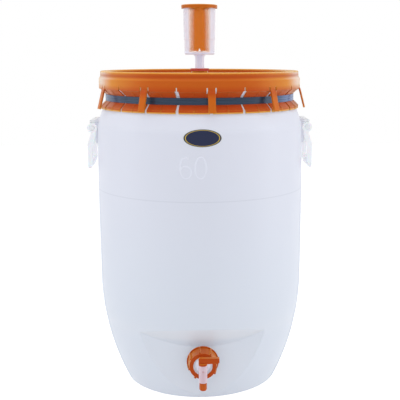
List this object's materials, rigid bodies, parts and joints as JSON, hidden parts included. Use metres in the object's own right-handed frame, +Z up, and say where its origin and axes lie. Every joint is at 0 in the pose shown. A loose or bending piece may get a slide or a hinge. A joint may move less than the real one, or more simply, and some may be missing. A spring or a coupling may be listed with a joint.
{
  "type": "plastic fermenter",
  "caption": "Tall translucent plastic barrel with a strapped orange lid, a bell airlock, swinging side handles and a drain tap in a recess at the foot.",
  "frame": {"origin": "centre of the ring that the barrel stands on, on the floor", "axes": "+Z up along the barrel's axis, the tap and label face -Y, handles on +X and -X"},
  "size_m": [0.429, 0.407, 0.7292],
  "materials": {
    "barrel_plastic": "natural polyethylene, milky, faintly blue, low sheen",
    "handle_plastic": "natural polyethylene, moulded",
    "lid_orange": "orange polyethylene, satin",
    "gasket_rubber": "black rubber",
    "strap_steel": "dark blue slate, glossy",
    "clamp_steel": "stamped steel",
    "grommet_rubber": "red orange rubber",
    "cup_clear": "clear polystyrene",
    "cap_orange": "frosted orange polyethylene",
    "tap_orange": "red orange moulded plastic",
    "tap_clear": "translucent moulded plastic",
    "label_film": "printed film"
  },
  "bodies": {
    "vessel": {"barrel": "barrel_plastic", "lid": "lid_orange", "lid_gasket": "gasket_rubber", "strap": "strap_steel", "clamp_housing": "clamp_steel", "airlock_grommet": "grommet_rubber", "airlock_cup": "cup_clear", "airlock_cap": "cap_orange", "tap_nut": "tap_orange", "tap_gasket": "gasket_rubber", "tap_body": "tap_clear", "label": "label_film"},
    "right_handle": {"handle_right": "handle_plastic"},
    "left_handle": {"handle_left": "handle_plastic"},
    "plug": {"tap_plug": "tap_orange"},
    "screw": {"clamp_screw": "clamp_steel"}
  },
  "joints": [
    {"name": "handle_right_swing", "type": "hinge", "parent": "vessel", "child": "right_handle", "pos_m": [0.2048, 0, 0.4975], "axis": [0, -1, 0], "range_deg": [0, 120]},
    {"name": "handle_left_swing", "type": "hinge", "parent": "vessel", "child": "left_handle", "pos_m": [-0.2048, 0, 0.4975], "axis": [0, 1, 0], "range_deg": [0, 120]},
    {"name": "tap_turn", "type": "hinge", "parent": "vessel", "child": "plug", "pos_m": [0, -0.1954, 0.0756], "axis": [0, 0, 1], "range_deg": [-180, 0]},
    {"name": "clamp_screw_turn", "type": "hinge", "parent": "vessel", "child": "screw", "pos_m": [0.04098, 0.18184, 0.555], "axis": [-0.9755, 0.2198, 0], "continuous": true}
  ]
}
